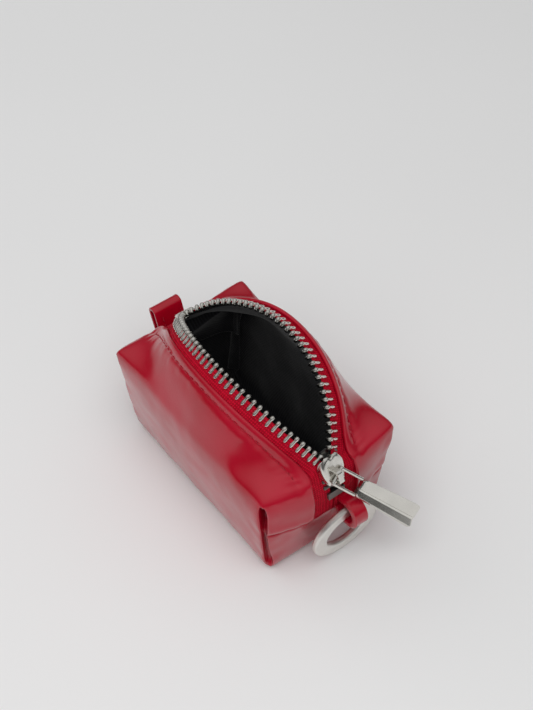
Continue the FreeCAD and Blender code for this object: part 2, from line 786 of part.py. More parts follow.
def corner_seams():
    """Sewing thread inside the upright seam at each corner of the body."""
    rows = []
    for end in (-1, 1):
        for side in (-1, 1):
            count = int((SHOULDER - 9) / size("stitch_pitch"))
            for number in range(count):
                low = 6.0 + number * size("stitch_pitch")
                x = end * (corner_x(low) - 1.9)
                y = side * (corner_y(low) - 1.9)
                high = low + size("stitch_length")
                far_x = end * (corner_x(high) - 1.9)
                far_y = side * (corner_y(high) - 1.9)
                rows.append((Vector(x, y, low), Vector(far_x, far_y, high)))
    feature("corner_seam_thread", stitch_row(rows))


base_panel()
leather_panels()
lining()
lips()
zip_ends()
slider_plate("slider_top_plate", False)
slider_plate("slider_bottom_plate", True)
slider_post()
slider_crown()
pull_wire()
pull_bar()
ring()
ring_loop()
grip_tab()
corner_seams()
doc.recompute()

for obj in doc.Objects:
    if "Invalid" in obj.State or "Error" in obj.State:
        raise RuntimeError("%s did not build" % obj.Name)

os.makedirs("parts", exist_ok=True)
for obj in OBJECTS:
    if obj.Shape.isNull() or not obj.Shape.isValid():
        raise RuntimeError("%s has a bad shape" % obj.Label)
    obj.Shape.exportStep("parts/%s.step" % obj.Label)
    print("%-26s %9.2f mm3  %d solids" % (obj.Label, obj.Shape.Volume, len(obj.Shape.Solids)))
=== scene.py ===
import json
import math

import bpy
import numpy as np
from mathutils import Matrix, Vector, noise


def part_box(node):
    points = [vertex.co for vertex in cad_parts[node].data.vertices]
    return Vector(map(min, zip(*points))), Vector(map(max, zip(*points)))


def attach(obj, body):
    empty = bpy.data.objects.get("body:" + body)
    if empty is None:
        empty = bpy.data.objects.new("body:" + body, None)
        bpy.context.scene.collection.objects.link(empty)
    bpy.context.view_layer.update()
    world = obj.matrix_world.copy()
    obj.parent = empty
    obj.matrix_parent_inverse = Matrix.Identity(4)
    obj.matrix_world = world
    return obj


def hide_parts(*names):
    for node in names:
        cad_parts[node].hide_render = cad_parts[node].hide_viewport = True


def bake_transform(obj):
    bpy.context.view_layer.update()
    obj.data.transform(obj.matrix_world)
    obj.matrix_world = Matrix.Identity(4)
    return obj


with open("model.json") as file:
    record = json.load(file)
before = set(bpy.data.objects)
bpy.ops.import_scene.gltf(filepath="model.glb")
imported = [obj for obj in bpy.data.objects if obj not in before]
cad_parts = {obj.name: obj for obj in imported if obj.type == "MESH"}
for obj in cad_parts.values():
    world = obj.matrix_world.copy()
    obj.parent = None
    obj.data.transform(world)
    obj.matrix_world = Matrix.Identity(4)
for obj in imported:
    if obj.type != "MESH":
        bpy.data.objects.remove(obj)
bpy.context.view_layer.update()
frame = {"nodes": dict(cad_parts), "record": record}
scene = bpy.context.scene

# ---------- sizes, in millimetres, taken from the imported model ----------

MM = 0.001
JOINTS = {j["name"]: j for j in frame["record"]["behaviour"]["joints"]}


def box_mm(node):
    low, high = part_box(node)
    return low / MM, high / MM


ARCH_X, _, ARCH_Z = [v / MM for v in JOINTS["slider_travel"]["pos_m"]]
CHORD_Z = JOINTS["left_lip_fold"]["pos_m"][2] / MM
MOUTH_ANGLE = JOINTS["left_lip_fold"]["range_deg"][1]
_, SIDE_HIGH = box_mm("right_side_panel")
HALF_LENGTH = SIDE_HIGH.x + 0.15
SHOULDER = SIDE_HIGH.z
# body: half widths at the shoulders and the foot, and how far the panels swell between their seams
TOP_WIDE = 25.3
FOOT_WIDE = 21.1
FOOT_TAPER = 1.1
EDGE_RADIUS = 4.0
SIDE_BULGE = 1.4
SEAM = 23.5
END_BULGE = 3.6
BULGE_POWER = 2.6
LEATHER_THICK = 1.3
# mouth: arch of the zip, and the leather's lips above and beside its tape
ARCH = 42.5
LIP_TOP = 1.7
LIP_EDGE = 6.2
END_LIP = 8.4
END_REACH = 43.8
TAPE_REACH = 42.3
MOUTH_END = 68.0
MOUTH_HALF = math.radians(MOUTH_END) * ARCH
# one round of relaxing moves a point this share of the way to the middle of its neighbours
RELAX = 0.5
EDGE_ROUNDS = 26
SHOULDER_ROUNDS = 90
CORNER_ROUNDS = 14
# shoulder corners by (end, side), with 1 for the ring end and the right side:
# how freely the leather around each relaxes, then how much of its first shape comes back
CORNER_SOFT = {(1, 1): 0.2, (-1, 1): 0.3, (-1, -1): 0.5, (1, -1): 1.0}
CORNER_KEEP = {(1, 1): 0.75, (-1, 1): 0.55, (-1, -1): 0.4, (1, -1): 0.1}
# how far the stuffed leather pushes each corner out
CORNER_PULL = {
    (1, 1): (0.5, 2.0, 0.3), (-1, 1): (-1.5, 1.4, 1.9), (-1, -1): (-1.6, -1.4, 0.9),
    (1, -1): (0.0, 0.0, 0.0)}


def mix(a, b, amount):
    return a + (b - a) * amount


def clamp01(value):
    return min(max(value, 0.0), 1.0)


def smooth(value):
    """Eases from 0 to 1 as the value does."""
    value = clamp01(value)
    return value * value * (3 - 2 * value)


def bell(distance, width):
    """1 at no distance, and fading to nothing over about twice the width."""
    return math.exp(-((distance / width) ** 2))


# ---------- outer surface of the pouch ----------

def edge_inset(z):
    """How far the rounded bottom edge stands in from the wall above it."""
    if z >= EDGE_RADIUS:
        return 0.0
    return EDGE_RADIUS - math.sqrt(max(EDGE_RADIUS ** 2 - (EDGE_RADIUS - z) ** 2, 0.0))


def corner_x(z):
    return HALF_LENGTH - FOOT_TAPER * (1 - min(z / SHOULDER, 1)) - edge_inset(z)


def corner_y(z):
    rise = math.sin(math.pi / 2 * min(z / SHOULDER, 1))
    return mix(FOOT_WIDE, TOP_WIDE, rise) - edge_inset(z)


def side_y(x, z):
    along = min(abs(x) / corner_x(z), 1)
    return corner_y(z) + SIDE_BULGE * (1 - along ** 2) * math.sin(math.pi * min(z / SHOULDER, 1) * 0.75)


def end_x(y, z, end, half_slot):
    """Reach of an end panel: it swells up to the seam and follows the zip's arch above it."""
    wide = corner_y(z)
    if z <= SEAM:
        swell = END_BULGE * z / SEAM
    else:
        reach = end * ARCH_X + math.sqrt(max((ARCH + LIP_TOP) ** 2 - (z - ARCH_Z) ** 2, 0.0))
        reach = min(reach, END_REACH)
        over_tape = (reach - corner_x(z)) / (1 - (half_slot / wide) ** BULGE_POWER)
        swell = mix(END_BULGE, over_tape, clamp01((z - SEAM) / 6) ** 0.6)
    return corner_x(z) + swell * (1 - min(abs(y) / wide, 1) ** BULGE_POWER)


def mouth_tilt(angle):
    """Outward lean of a lip: full along the mouth and none past the zip's ends."""
    return math.radians(MOUTH_ANGLE) * smooth((MOUTH_END + 1 - abs(angle)) / 15)


def on_zip(angle, offset, lift, side):
    """Point beside the open zip: angle along it, offset from the teeth's tips, lift above the tape."""
    turn = math.radians(angle)
    x = min(ARCH_X + (ARCH + lift) * math.sin(turn), TAPE_REACH + lift)
    up = ARCH_Z + (ARCH + lift) * math.cos(turn) - CHORD_Z
    tilt = mouth_tilt(angle)
    y = offset * math.cos(tilt) + up * math.sin(tilt)
    z = CHORD_Z + up * math.cos(tilt) - offset * math.sin(tilt)
    return Vector((x, side * y, z))


def spaced(length, near, steps_near, step):
    """Distances from 0 to length, closer together at the 0 end."""
    out = [near * i for i in range(steps_near + 1)]
    rest = length - out[-1]
    count = max(int(round(rest / step)), 1)
    return out + [out[-1] + rest * (i + 1) / count for i in range(count)]


def side_columns():
    """Shares of the half length, from one end of the pouch (-1) to the other (1)."""
    half = [1 - d / HALF_LENGTH for d in spaced(HALF_LENGTH, 0.5, 8, 1.25)]
    return [-u for u in half] + half[-2::-1]


def lip_columns():
    """Shares of the way from the zip's slot (0) to the shoulder or corner (1)."""
    lip = [0.034 * i for i in range(9)]
    corner = [1 - 0.028 * i for i in range(9)]
    middle = np.linspace(lip[-1], corner[-1], 9)[1:-1]
    return lip + list(middle) + corner[::-1]


def rows_to_seam():
    """Heights from the base, round the bottom edge, to the seam across the ends."""
    turn = [EDGE_RADIUS * (1 - math.cos(math.pi / 2 * i / 6)) for i in range(7)]
    climb = [SEAM - d for d in spaced(SEAM - EDGE_RADIUS, 0.4, 5, 1.25)]
    return turn + climb[::-1][1:]


def rows_above_seam():
    """Shares of the height from the seam to the shoulder."""
    height = SHOULDER - SEAM
    return [d / height for d in spaced(height, 0.4, 5, 1.1)]


COLUMNS = side_columns()
LIPS = lip_columns()
LOW_ROWS = rows_to_seam()
HIGH_ROWS = rows_above_seam()


class Skin:
    """One sewn skin of the pouch: the outer leather or the lining.

    A point's tag is its panel, its side, its place along the panel and its place across it. Across
    is the distance from the upright corner seam on walls and ends, the share from the lip (0) to
    the shoulder (1) on a flap, and the share from the middle (0) to the edge (1) on the base.
    """

    def __init__(self, slot, lift, half_slot):
        self.slot = slot
        self.lift = lift
        self.half_slot = half_slot
        self.points = []
        self.faces = []
        self.tags = []
        self.found = {}
        self.flap = {}

    def add(self, point, tag):
        key = (round(point[0], 3), round(point[1], 3), round(point[2], 3))
        if key not in self.found:
            self.found[key] = len(self.points)
            self.points.append(Vector(point))
            self.tags.append(tag)
        return self.found[key]

    def patch(self, grid):
        """Joins a grid of points with quads, leaving out those that have closed up."""
        for i in range(len(grid) - 1):
            for j in range(len(grid[0]) - 1):
                corner = [grid[i][j], grid[i + 1][j], grid[i + 1][j + 1], grid[i][j + 1]]
                if len(set(corner)) < 3:
                    continue
                self.faces.append(corner)

    def face_outwards(self):
        middle = Vector((0, 0, SHOULDER / 2))
        for face in self.faces:
            a, b, c = (self.points[k] for k in face[:3])
            if (b - a).cross(c - a).dot(a - middle) < 0:
                face.reverse()

    def flap_point(self, side, u, q):
        """Point of a top flap, on a curve that leaves the shoulder and runs into the lip."""
        low_x = u * corner_x(SHOULDER)
        low = Vector((low_x, side * side_y(low_x, SHOULDER), SHOULDER))
        angle = u * MOUTH_END
        reach = mix(self.half_slot, self.slot, smooth((MOUTH_END - abs(angle)) / 18))
        high = on_zip(angle, reach, self.lift, side)
        beyond = on_zip(angle, reach + 1, self.lift, side)
        span = (high - low).length
        v = 1 - q
        start = Vector((0, -side * 0.25, 0.62)) * span
        finish = (high - beyond) * span * 0.8
        a = 2 * v ** 3 - 3 * v ** 2 + 1
        b = v ** 3 - 2 * v ** 2 + v
        c = -2 * v ** 3 + 3 * v ** 2
        d = v ** 3 - v ** 2
        return low * a + start * b + high * c + finish * d

    def wall(self, side):
        grid = []
        for u in COLUMNS:
            distance = (1 - abs(u)) * HALF_LENGTH
            line = []
            for z in LOW_ROWS + [mix(SEAM, SHOULDER, t) for t in HIGH_ROWS[1:]]:
                x = u * corner_x(z)
                line.append(self.add((x, side * side_y(x, z), z), ("side", side, u, distance)))
            grid.append(line)
        self.patch(grid)
        return grid

    def top_flap(self, side, wall):
        grid = []
        for u, column in zip(COLUMNS, wall):
            line = [self.add(self.flap_point(side, u, q), ("flap", side, u, q)) for q in LIPS[:-1]]
            grid.append(line + [column[-1]])
        self.patch(grid)
        self.flap[side] = grid
        return grid

    def base(self, side, wall):
        grid = []
        for u, column in zip(COLUMNS, wall):
            x = u * corner_x(0)
            line = []
            for w in np.linspace(0, 1, 18)[:-1]:
                line.append(self.add((x, side * w * side_y(x, 0), 0), ("base", side, u, w)))
            grid.append(line + [column[0]])
        self.patch(grid)

    def lower_end(self, side, end, edge):
        """End panel below the cross seam; edge is the corner seam it shares with the wall."""
        grid = []
        for z, corner in zip(LOW_ROWS, edge):
            wide = corner_y(z)
            taper = wide / corner_y(SEAM)
            line = []
            ys = [y * taper for y in np.linspace(0, self.half_slot, 8)[:-1]]
            ys += [mix(self.half_slot * taper, wide, q) for q in LIPS[:-1]]
            for y in ys:
                point = (end * end_x(y, z, end, self.half_slot), side * y, z)
                line.append(self.add(point, ("end", side, end, wide - y)))
            grid.append(line + [corner])
        self.patch(grid)
        return grid

    def end_point(self, side, end, q, z):
        y = mix(self.half_slot, corner_y(z), q)
        return Vector((end * end_x(y, z, end, self.half_slot), side * y, z))

    def upper_end(self, side, end, lower, edge, top):
        """End panel from the cross seam up to the flap's end, beside the zip."""
        grid = [lower[-1][-len(LIPS):]]
        for t, corner in zip(HIGH_ROWS[1:-1], edge[len(LOW_ROWS):]):
            line = []
            for q in LIPS[:-1]:
                goal = self.flap_point(side, end, q)
                point = self.end_point(side, end, q, mix(SEAM, goal.z, t))
                point += (goal - self.end_point(side, end, q, goal.z)) * smooth((t - 0.35) / 0.65)
                distance = (1 - q) * (corner_y(SHOULDER) - self.half_slot)
                line.append(self.add(point, ("end", side, end, distance)))
            grid.append(line + [corner])
        grid.append(top[:-1] + [edge[-1]])
        self.patch(grid)


def build_skin(slot, lift, half_slot):
    skin = Skin(slot, lift, half_slot)
    for side in (-1, 1):
        wall = skin.wall(side)
        flap = skin.top_flap(side, wall)
        skin.base(side, wall)
        for end, edge, top in ((-1, wall[0], flap[0]), (1, wall[-1], flap[-1])):
            lower = skin.lower_end(side, end, edge)
            skin.upper_end(side, end, lower, edge, top)
    skin.face_outwards()
    return skin


def relax(skin, rounds, points=None, amount=RELAX):
    """Rounds the box edges; the slot's own edge stays where it is."""
    if points is None:
        points = np.array([list(p) for p in skin.points])
    pairs = set()
    count = {}
    for face in skin.faces:
        for a, b in zip(face, face[1:] + face[:1]):
            key = (min(a, b), max(a, b))
            count[key] = count.get(key, 0) + 1
            pairs.add(key)
    pairs = np.array(sorted(pairs))
    fixed = np.zeros(len(points), bool)
    for (a, b), n in count.items():
        if n == 1:
            fixed[a] = fixed[b] = True
    near = np.concatenate((pairs[:, 0], pairs[:, 1]))
    far = np.concatenate((pairs[:, 1], pairs[:, 0]))
    degree = np.bincount(near, minlength=len(points))
    for _ in range(rounds):
        totals = [np.bincount(near, weights=points[far, k], minlength=len(points)) for k in range(3)]
        total = np.stack(totals, 1)
        moved = mix(points, total / degree[:, None], amount)
        moved[fixed] = points[fixed]
        points = moved
    points[:, 2] = np.maximum(points[:, 2], 0)
    return points


def foot_stiffness(skin):
    """Relaxing strength: the bottom edge is rounded already and keeps its shape."""
    height = np.array([point[2] for point in skin.points])
    return RELAX * (0.12 + 0.88 * np.clip((height - 3) / 8, 0, 1))[:, None]


def shoulder_softness(skin, points):
    """Relaxing strength of the pillowed leather between top flap and end."""
    free = np.zeros(len(points))
    for k, (kind, side, _, across) in enumerate(skin.tags):
        x, _, z = points[k]
        if kind == "base" or z < SEAM + 0.5:
            continue
        share = {"flap": across, "end": 1 - across / (TOP_WIDE - END_LIP), "side": 1}[kind]
        free[k] = RELAX * smooth((share - 0.04) / 0.3)
        free[k] *= smooth((abs(x) - 24) / 9) * smooth((z - 25) / 6)
        free[k] *= CORNER_SOFT[1 if x > 0 else -1, side]
    return free[:, None]


def shoulder_corner(end, side):
    return np.array((end * HALF_LENGTH, side * TOP_WIDE, SHOULDER))


def corner_softness(points):
    """Relaxing strength around the four shoulder corners, which the leather turns softly."""
    near = np.zeros(len(points))
    for end, side in CORNER_KEEP:
        distance = np.linalg.norm(points - shoulder_corner(end, side), axis=1)
        near = np.maximum(near, np.exp(-(distance / 9) ** 2))
    return RELAX * near[:, None]


def keep_corners(skin, points):
    """Gives back part of what relaxing took off the four shoulder corners, and pushes them out."""
    for (end, side), keep in CORNER_KEEP.items():
        corner = shoulder_corner(end, side)
        for k, before in enumerate(skin.points):
            distance = np.linalg.norm(np.array(before) - corner)
            if distance < 16 and skin.tags[k][0] != "base":
                points[k] = mix(points[k], np.array(before), keep * bell(distance, 7))
                points[k] += np.array(CORNER_PULL[end, side]) * bell(distance, 8)
    return points


def face_normals(points, faces):
    normals = np.zeros_like(points)
    for face in faces:
        a, b, c = points[face[0]], points[face[1]], points[face[2]]
        n = np.cross(b - a, c - a)
        for k in face:
            normals[k] += n
    return normals / np.maximum(np.linalg.norm(normals, axis=1), 1e-9)[:, None]


# ---------- mesh helpers ----------

def sheet_faces(rows, columns, flip=False):
    """Quads of a sheet whose points were laid down row by row."""
    faces = []
    for i in range(rows - 1):
        for k in range(columns - 1):
            a = i * columns + k
            b = a + columns
            faces.append([a, b, b + 1, a + 1] if flip else [a, a + 1, b + 1, b])
    return faces


def tube_faces(rings, sides, start=0):
    """Quads between rings of points, and a cap on each end."""
    faces = []
    for i in range(rings - 1):
        low = start + i * sides
        for k in range(sides):
            m = (k + 1) % sides
            faces.append([low + k, low + m, low + sides + m, low + sides + k])
    faces.append([start + k for k in range(sides)][::-1])
    faces.append([start + (rings - 1) * sides + k for k in range(sides)])
    return faces


def mesh_object(name, points, faces, uv=None):
    mesh = bpy.data.meshes.new(name)
    mesh.from_pydata([tuple(p) for p in points], [], faces)
    mesh.update()
    if uv is not None:
        layer = mesh.uv_layers.new(name="Weave")
        for loop in mesh.loops:
            layer.data[loop.index].uv = uv[loop.vertex_index]
    obj = bpy.data.objects.new(name, mesh)
    scene.collection.objects.link(obj)
    return obj


def apply_modifiers(obj):
    deps = bpy.context.evaluated_depsgraph_get()
    made = bpy.data.meshes.new_from_object(obj.evaluated_get(deps))
    obj.modifiers.clear()
    old = obj.data
    obj.data = made
    bpy.data.meshes.remove(old)


def set_smooth(obj):
    obj.data.polygons.foreach_set("use_smooth", [True] * len(obj.data.polygons))


def finish_mesh(obj, material, thickness=0.0, levels=0, offset=-1.0, facets=None):
    """Gives a mesh its thickness, detail and material; facets is the angle of its sharp edges."""
    if thickness:
        solid = obj.modifiers.new("Thickness", "SOLIDIFY")
        solid.thickness = thickness * MM
        solid.offset = offset
    if levels:
        detail = obj.modifiers.new("Detail", "SUBSURF")
        detail.levels = detail.render_levels = levels
    apply_modifiers(obj)
    set_smooth(obj)
    if facets:
        obj.data.set_sharp_from_angle(angle=math.radians(facets))
    obj.data.materials.clear()
    obj.data.materials.append(material)


def split_by_side(obj, names):
    """Cuts a finished skin down its middle and keeps the whole skin's shading at the cut."""
    mesh = obj.data
    co = np.zeros(len(mesh.vertices) * 3)
    mesh.vertices.foreach_get("co", co)
    co = co.reshape(-1, 3)
    normals = np.array([v.normal[:] for v in mesh.vertices])
    made = []
    for side, name in zip((-1, 1), names):
        used = {}
        faces = []
        for poly in mesh.polygons:
            centre_y = co[list(poly.vertices), 1].mean()
            if centre_y * side < 0:
                continue
            faces.append([used.setdefault(k, len(used)) for k in poly.vertices])
        order = sorted(used, key=used.get)
        half = mesh_object(name, co[order], faces)
        set_smooth(half)
        half.data.normals_split_custom_set_from_vertices([tuple(n) for n in normals[order]])
        half.data.materials.append(mesh.materials[0])
        made.append(half)
    bpy.data.objects.remove(obj)
    return made


# ---------- materials ----------

class Nodes:
    """A material's node tree, built up from its shader; a value's _ stands for a space."""

    def __init__(self, name):
        self.material = bpy.data.materials.new(name)
        self.material.use_nodes = True
        self.tree = self.material.node_tree
        self.shader = self.tree.nodes["Principled BSDF"]
        self.coordinates = self.tree.nodes.new("ShaderNodeTexCoord")

    def add(self, kind, **values):
        node = self.tree.nodes.new("ShaderNode" + kind)
        for key, value in values.items():
            if hasattr(node, key):
                setattr(node, key, value)
            else:
                node.inputs[key.replace("_", " ")].default_value = value
        return node

    def link(self, source, target):
        self.tree.links.new(source, target)

    def noise(self, scale, detail, roughness=0.5):
        node = self.add("TexNoise", Scale=scale, Detail=detail, Roughness=roughness)
        self.link(self.coordinates.outputs["Object"], node.inputs["Vector"])
        return node.outputs["Fac"]

    def voronoi(self, scale):
        node = self.add("TexVoronoi", Scale=scale)
        self.link(self.coordinates.outputs["Object"], node.inputs["Vector"])
        return node.outputs["Distance"]

    def spread(self, source, low, high):
        node = self.add("MapRange")
        node.inputs["To Min"].default_value = low
        node.inputs["To Max"].default_value = high
        self.link(source, node.inputs["Value"])
        return node.outputs["Result"]

    def ramp(self, source, *stops):
        node = self.add("ValToRGB")
        points = node.color_ramp.elements
        while len(points) < len(stops):
            points.new(0.5)
        for point, (place, colour) in zip(points, stops):
            point.position = place
            point.color = (*colour, 1)
        self.link(source, node.inputs["Fac"])
        return node.outputs["Color"]

    def math(self, operation, a, b):
        node = self.add("Math", operation=operation)
        for socket, value in zip(node.inputs, (a, b)):
            if isinstance(value, (int, float)):
                socket.default_value = value
            else:
                self.link(value, socket)
        return node.outputs["Value"]

    def bump(self, height, distance, strength=1.0, below=None):
        node = self.add("Bump", Distance=distance, Strength=strength)
        self.link(height, node.inputs["Height"])
        if below is not None:
            self.link(below, node.inputs["Normal"])
        return node.outputs["Normal"]

    def set(self, **values):
        for key, value in values.items():
            socket = self.shader.inputs[key.replace("_", " ")]
            if isinstance(value, bpy.types.NodeSocket):
                self.link(value, socket)
            else:
                socket.default_value = value
        return self.material


def patent_leather():
    n = Nodes("Patent_leather")
    tone = n.noise(45, 4)
    colour = n.ramp(tone, (0.3, (0.34, 0.0008, 0.011)), (0.7, (0.43, 0.002, 0.021)))
    wobble = n.noise(130, 2, 0.4)
    grain = n.voronoi(1500)
    low = n.bump(wobble, 0.00018, 0.5)
    normal = n.bump(grain, 0.00004, 0.25, low)
    rough = n.spread(n.noise(90, 3), 0.24, 0.38)
    return n.set(
        Base_Color=colour, Roughness=rough, IOR=1.5, Specular_IOR_Level=0.25, Coat_Weight=0.75,
        Coat_Roughness=0.15, Normal=normal)


def lining_cloth():
    n = Nodes("Lining_twill")
    wave = n.add("TexWave", Scale=520.0, Distortion=1.5)
    wave.bands_direction = "DIAGONAL"
    n.link(n.coordinates.outputs["Object"], wave.inputs["Vector"])
    colour = n.ramp(wave.outputs["Fac"], (0.2, (0.0025, 0.0025, 0.003)), (0.8, (0.009, 0.009, 0.011)))
    normal = n.bump(wave.outputs["Fac"], 0.00012, 0.6, n.bump(n.noise(120, 3), 0.0006, 0.5))
    return n.set(Base_Color=colour, Roughness=0.75, Normal=normal, Sheen_Weight=0.15, Specular_IOR_Level=0.3)


def zip_cloth():
    n = Nodes("Zip_tape_weave")
    uv = n.add("UVMap", uv_map="Weave")
    ribs = n.add("TexWave", Scale=0.42)
    ribs.bands_direction = "X"
    across = n.add("TexWave", Scale=0.34)
    across.bands_direction = "Y"
    n.link(uv.outputs["UV"], ribs.inputs["Vector"])
    n.link(uv.outputs["UV"], across.inputs["Vector"])
    weave = n.math("MULTIPLY", ribs.outputs["Fac"], across.outputs["Fac"])
    mottled = n.math("ADD", n.math("MULTIPLY", weave, 0.7), n.math("MULTIPLY", n.noise(900, 2), 0.5))
    colour = n.ramp(mottled, (0.15, (0.26, 0.001, 0.008)), (0.7, (0.62, 0.005, 0.030)))
    normal = n.bump(mottled, 0.0003, 0.8)
    return n.set(Base_Color=colour, Roughness=0.75, Specular_IOR_Level=0.15, Normal=normal)


def thread():
    n = Nodes("Red_thread")
    twist = n.add("TexWave", Scale=900.0)
    twist.bands_direction = "DIAGONAL"
    n.link(n.coordinates.outputs["Object"], twist.inputs["Vector"])
    colour = n.ramp(twist.outputs["Fac"], (0.2, (0.25, 0.002, 0.010)), (0.8, (0.45, 0.006, 0.025)))
    return n.set(Base_Color=colour, Roughness=0.55, Normal=n.bump(twist.outputs["Fac"], 0.0001, 0.6))


def nickel(name, rough, tint):
    n = Nodes(name)
    smudge = n.noise(220, 4)
    colour = n.ramp(smudge, (0.3, tuple(c * 0.88 for c in tint)), (0.7, tint))
    fine = n.noise(2600, 2)
    normal = n.bump(fine, 0.00002, 0.35)
    return n.set(
        Base_Color=colour, Metallic=1.0, Roughness=n.spread(smudge, rough * 0.75, rough * 1.25),
        Normal=normal)


LEATHER_RED = patent_leather()
LINING_BLACK = lining_cloth()
TAPE_RED = zip_cloth()
THREAD_RED = thread()
NICKEL = nickel("Nickel", 0.22, (0.80, 0.78, 0.73))
SATIN = nickel("Satin_nickel", 0.42, (0.86, 0.84, 0.80))
# darkened copy of the nickel: painted shade for the metal that sits in shadow under the slider
PAINTED_SHADE_NICKEL = nickel("Nickel_painted_shade", 0.45, (0.22, 0.21, 0.20))

# ---------- leather ----------

STITCH_PITCH = 3.0
STITCH_INSET = 3.3
# corner slits: depth below and above the cross seam, and the share of it at the tab end
SLIT_LOW = 3.4
SLIT_HIGH = 6.0
FAR_SLIT = 0.35


def flap_span(u):
    """Width of a top flap, from its lip to the shoulder."""
    return 21 - 4 * abs(u)


def slit_depth(z):
    """Depth of a corner slit: none at its two ends, and pinched where the cross seam holds it."""
    top = SHOULDER - 1
    grow = smooth((top - z) / 3) * smooth((z - 1.5) / 4)
    upper = smooth((z - SEAM + 2) / 5)
    return mix(SLIT_LOW, SLIT_HIGH, upper) * grow * (1 - 0.4 * bell(z - SEAM, 3.0))


def corner_slit(p, normal, side, distance):
    """Open slit along an upright corner, the puffed leather beside it and its creases."""
    end = math.copysign(1, p.x)
    inward = Vector((-end, -side, 0)).normalized()
    depth = slit_depth(p.z) * (1.0 if end > 0 else FAR_SLIT)
    wide = 0.85 + 0.45 * bell(p.z - 7, 4.5) + 0.2 * bell(p.z - SHOULDER + 5, 3)
    puff = 0.07 * bell(distance - wide - 1.6, 1.3)
    crease = math.sin(p.z * 0.5 + end + 2 * side) + 0.6 * math.sin(p.z * 0.93 + 1.3 * end)
    move = inward * depth * (math.exp(-((distance / wide) ** 4)) - puff)
    return move + normal * 0.1 * crease * bell(distance - 3.2, 2.4) * smooth(depth)


def cross_seam(p, normal, end, distance):
    """Groove of the seam across an end, the pillow above it and the puckers around it."""
    outward = Vector((end, 0, 0))
    rise = p.z - SEAM
    pillow = 0.5 * bell(rise - 2.2, 1.9) - bell(rise, 0.55)
    ripple = math.sin(p.y * 0.9 + 1.1 * end) * math.sin(p.y * 0.37 + 2)
    return (outward * pillow + normal * 0.2 * ripple * bell(rise, 4.5)) * smooth((distance - 0.6) / 2)


def stitch_groove(normal, side, u, q):
    """Groove and puckers along the topstitching, and the rolled lip beside it."""
    inner = q * flap_span(u)
    along = u * MOUTH_HALF
    beat = math.cos(2 * math.pi * along / STITCH_PITCH)
    pucker = beat * 0.1 + 0.1 * math.sin(along * 0.83 + 3 * side)
    height = 0.22 * bell(inner - 1.3, 1.1) + pucker * bell(inner - STITCH_INSET - 1.6, 1.6)
    height -= (0.42 - 0.12 * beat) * bell(inner - STITCH_INSET, 0.75)
    return normal * height * smooth((1 - abs(u)) / 0.06)


def shape_leather(skin):
    points = relax(skin, EDGE_ROUNDS, amount=foot_stiffness(skin))
    points = keep_corners(skin, points)
    points = relax(skin, SHOULDER_ROUNDS, points, shoulder_softness(skin, points))
    points = relax(skin, CORNER_ROUNDS, points, corner_softness(points))
    normals = face_normals(points, skin.faces)
    for k, (kind, side, along, across) in enumerate(skin.tags):
        p = Vector(points[k])
        normal = Vector(normals[k])
        move = Vector((0, 0, 0))
        if kind in ("side", "end"):
            move += corner_slit(p, normal, side, across)
        if kind == "end":
            move += cross_seam(p, normal, along, across)
        if kind == "flap":
            move += stitch_groove(normal, side, along, across)
        if kind != "base":
            slow = noise.noise(p * 0.075 + Vector((3.1, 1.7 * side, 0)))
            quick = noise.noise(p * 0.19 + Vector((9, 4, 2)))
            held = 0.3 if kind == "flap" and across < 0.25 else 1
            move += normal * (0.45 * slow + 0.12 * quick) * held
        points[k] = p + move
    points[:, 2] = np.maximum(points[:, 2], 0.0)
    return points


outer = build_skin(LIP_EDGE, LIP_TOP, END_LIP)
leather_points = shape_leather(outer)
whole = mesh_object("Leather_whole", leather_points * MM, outer.faces)
finish_mesh(whole, LEATHER_RED, thickness=LEATHER_THICK, levels=1)
left_leather, right_leather = split_by_side(whole, ("Leather_left", "Leather_right"))


def fold_with_lip(obj):
    """Bakes the object's placement into its mesh."""
    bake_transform(obj)


fold_with_lip(left_leather)
fold_with_lip(right_leather)
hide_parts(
    "left_side_panel", "left_top_flap", "ring_end_upper_left", "tab_end_upper_left",
    "folded_edge_left", "base_panel", "corner_seam_thread")
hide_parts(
    "right_side_panel", "right_top_flap", "ring_end_upper_right",
    "tab_end_upper_right", "folded_edge_right", "ring_end_lower_panel", "tab_end_lower_panel")

# ---------- lining ----------

LINING_INSET = 2.3
# the lining is not slit at its corners: it turns past the leather's slits in a wide curve
CORNER_INSET = 4.4


def shape_lining(skin):
    points = relax(skin, EDGE_ROUNDS)
    points = relax(skin, SHOULDER_ROUNDS, points, shoulder_softness(skin, points))
    normals = face_normals(points, skin.faces)
    for k, (kind, _, _, across) in enumerate(skin.tags):
        p = Vector(points[k])
        depth = LINING_INSET
        soft = 0.7 * noise.noise(p * 0.09 + Vector((5, 5, 5))) + 0.35
        if kind == "flap":
            depth = mix(0.15, LINING_INSET, smooth(across / 0.5))
            soft *= smooth(across / 0.4)
        if kind in ("side", "end"):
            depth += CORNER_INSET * bell(across, 4.5)
        if kind == "end" and p.z > SEAM:
            depth += 1.4
        points[k] = p - Vector(normals[k]) * (depth + max(soft, 0))
    return points


inner = build_skin(slot=3.4, lift=-0.55, half_slot=0.0)
lining_points = shape_lining(inner)
whole = mesh_object("Lining_whole", lining_points * MM, inner.faces)
finish_mesh(whole, LINING_BLACK, thickness=0.3, levels=1)
left_lining, right_lining = split_by_side(whole, ("Lining_left", "Lining_right"))
fold_with_lip(left_lining)
fold_with_lip(right_lining)
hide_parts("lining_left", "lining_flap_left", "lining_floor", "lining_tab_end")
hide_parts("lining_right", "lining_flap_right", "lining_ring_end")

# ---------- zip tape, with the cord that the teeth grip ----------

# angles along the zip: the tape's two ends, and the stops past which it is gathered
TAPE_NEAR = 89.0
TAPE_FAR = -88.0
RING_STOP = 76.5
TAB_STOP = 65.5


